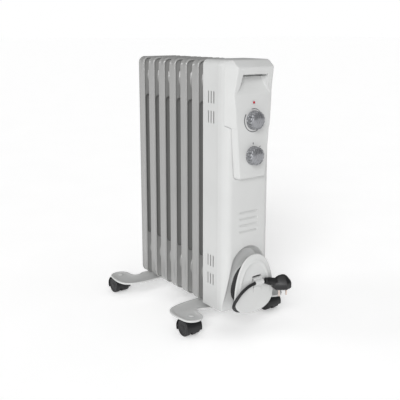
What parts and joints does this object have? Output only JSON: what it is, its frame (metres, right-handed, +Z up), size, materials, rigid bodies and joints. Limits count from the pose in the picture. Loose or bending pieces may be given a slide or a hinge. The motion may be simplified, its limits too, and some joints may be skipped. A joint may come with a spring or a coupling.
{
  "type": "oil filled radiator heater",
  "caption": "Free-standing electric column heater with pressed steel fins, front control panel, wound mains lead and swivel casters.",
  "frame": {"origin": "on the floor, under the middle of the heater's bounding box without its mains lead", "axes": "+Z up; the controls face -Y and the fins stack towards +Y; +X to the right seen from the front"},
  "size_m": [0.3018, 0.4641, 0.6195],
  "materials": {
    "fin_paint": "satin",
    "cover_paint": "satin",
    "white_moulding": "semi gloss",
    "silver_plastic": "metallic",
    "red_lens": "gloss",
    "insulator": "matte",
    "plated_steel": "plated",
    "black_plastic": "satin",
    "wheel_plastic": "matte",
    "element_brass": "plain",
    "cord_jacket": "matte",
    "plug_metal": "polished"
  },
  "bodies": {
    "root": {"fin_1": "fin_paint", "fin_2": "fin_paint", "fin_3": "fin_paint", "fin_4": "fin_paint", "fin_5": "fin_paint", "fin_6": "fin_paint", "fin_7": "fin_paint", "end_cover": "cover_paint", "foot_front": "cover_paint", "foot_rear": "cover_paint", "front_cover": "white_moulding", "control_panel": "white_moulding", "wrap_hub": "white_moulding", "wrap_plate": "white_moulding", "pilot_lamp_lens": "red_lens", "thermostat_body": "insulator", "power_switch_body": "insulator", "pilot_lamp_body": "insulator", "thermal_cutout": "insulator", "terminal_block": "insulator", "oil_plug": "plated_steel", "cover_bracket": "plated_steel", "u_bolt_front": "plated_steel", "u_bolt_rear": "plated_steel", "wing_nut_front_left": "plated_steel", "caster_stem_front_left": "plated_steel", "wing_nut_front_right": "plated_steel", "caster_stem_front_right": "plated_steel", "wing_nut_rear_left": "plated_steel", "caster_stem_rear_left": "plated_steel", "wing_nut_rear_right": "plated_steel", "caster_stem_rear_right": "plated_steel", "heating_element": "element_brass", "cord_strain_relief": "black_plastic", "plug_body": "black_plastic", "cord_lead": "cord_jacket", "cord_winding": "cord_jacket", "cord_tail": "cord_jacket", "plug_pin_a": "plug_metal", "plug_pin_b": "plug_metal"},
    "thermostat_control": {"thermostat_knob": "silver_plastic", "thermostat_spindle": "plated_steel"},
    "power_control": {"power_knob": "silver_plastic", "power_spindle": "plated_steel"},
    "caster_front_left": {"caster_hood_front_left": "black_plastic"},
    "wheels_front_left": {"wheel_outer_front_left": "wheel_plastic", "wheel_inner_front_left": "wheel_plastic", "axle_front_left": "plated_steel"},
    "caster_front_right": {"caster_hood_front_right": "black_plastic"},
    "wheels_front_right": {"wheel_outer_front_right": "wheel_plastic", "wheel_inner_front_right": "wheel_plastic", "axle_front_right": "plated_steel"},
    "caster_rear_left": {"caster_hood_rear_left": "black_plastic"},
    "wheels_rear_left": {"wheel_outer_rear_left": "wheel_plastic", "wheel_inner_rear_left": "wheel_plastic", "axle_rear_left": "plated_steel"},
    "caster_rear_right": {"caster_hood_rear_right": "black_plastic"},
    "wheels_rear_right": {"wheel_outer_rear_right": "wheel_plastic", "wheel_inner_rear_right": "wheel_plastic", "axle_rear_right": "plated_steel"}
  },
  "joints": [
    {"name": "thermostat_turn", "type": "hinge", "parent": "root", "child": "thermostat_control", "pos_m": [0, -0.1945, 0.491], "axis": [0, 1, 0], "range_deg": [0, 270]},
    {"name": "power_turn", "type": "hinge", "parent": "root", "child": "power_control", "pos_m": [0, -0.1945, 0.413], "axis": [0, 1, 0], "range_deg": [0, 135]},
    {"name": "swivel_front_left", "type": "hinge", "parent": "root", "child": "caster_front_left", "pos_m": [-0.122, -0.1324, 0.03], "axis": [0, 0, 1], "continuous": true},
    {"name": "roll_front_left", "type": "hinge", "parent": "caster_front_left", "child": "wheels_front_left", "pos_m": [-0.122, -0.1233, 0.0197], "axis": [1, 0, 0], "continuous": true},
    {"name": "swivel_front_right", "type": "hinge", "parent": "root", "child": "caster_front_right", "pos_m": [0.122, -0.1324, 0.03], "axis": [0, 0, 1], "continuous": true},
    {"name": "roll_front_right", "type": "hinge", "parent": "caster_front_right", "child": "wheels_front_right", "pos_m": [0.122, -0.1233, 0.0197], "axis": [1, 0, 0], "continuous": true},
    {"name": "swivel_rear_left", "type": "hinge", "parent": "root", "child": "caster_rear_left", "pos_m": [-0.122, 0.1876, 0.03], "axis": [0, 0, 1], "continuous": true},
    {"name": "roll_rear_left", "type": "hinge", "parent": "caster_rear_left", "child": "wheels_rear_left", "pos_m": [-0.122, 0.1967, 0.0197], "axis": [1, 0, 0], "continuous": true},
    {"name": "swivel_rear_right", "type": "hinge", "parent": "root", "child": "caster_rear_right", "pos_m": [0.122, 0.1876, 0.03], "axis": [0, 0, 1], "continuous": true},
    {"name": "roll_rear_right", "type": "hinge", "parent": "caster_rear_right", "child": "wheels_rear_right", "pos_m": [0.122, 0.1967, 0.0197], "axis": [1, 0, 0], "continuous": true}
  ]
}
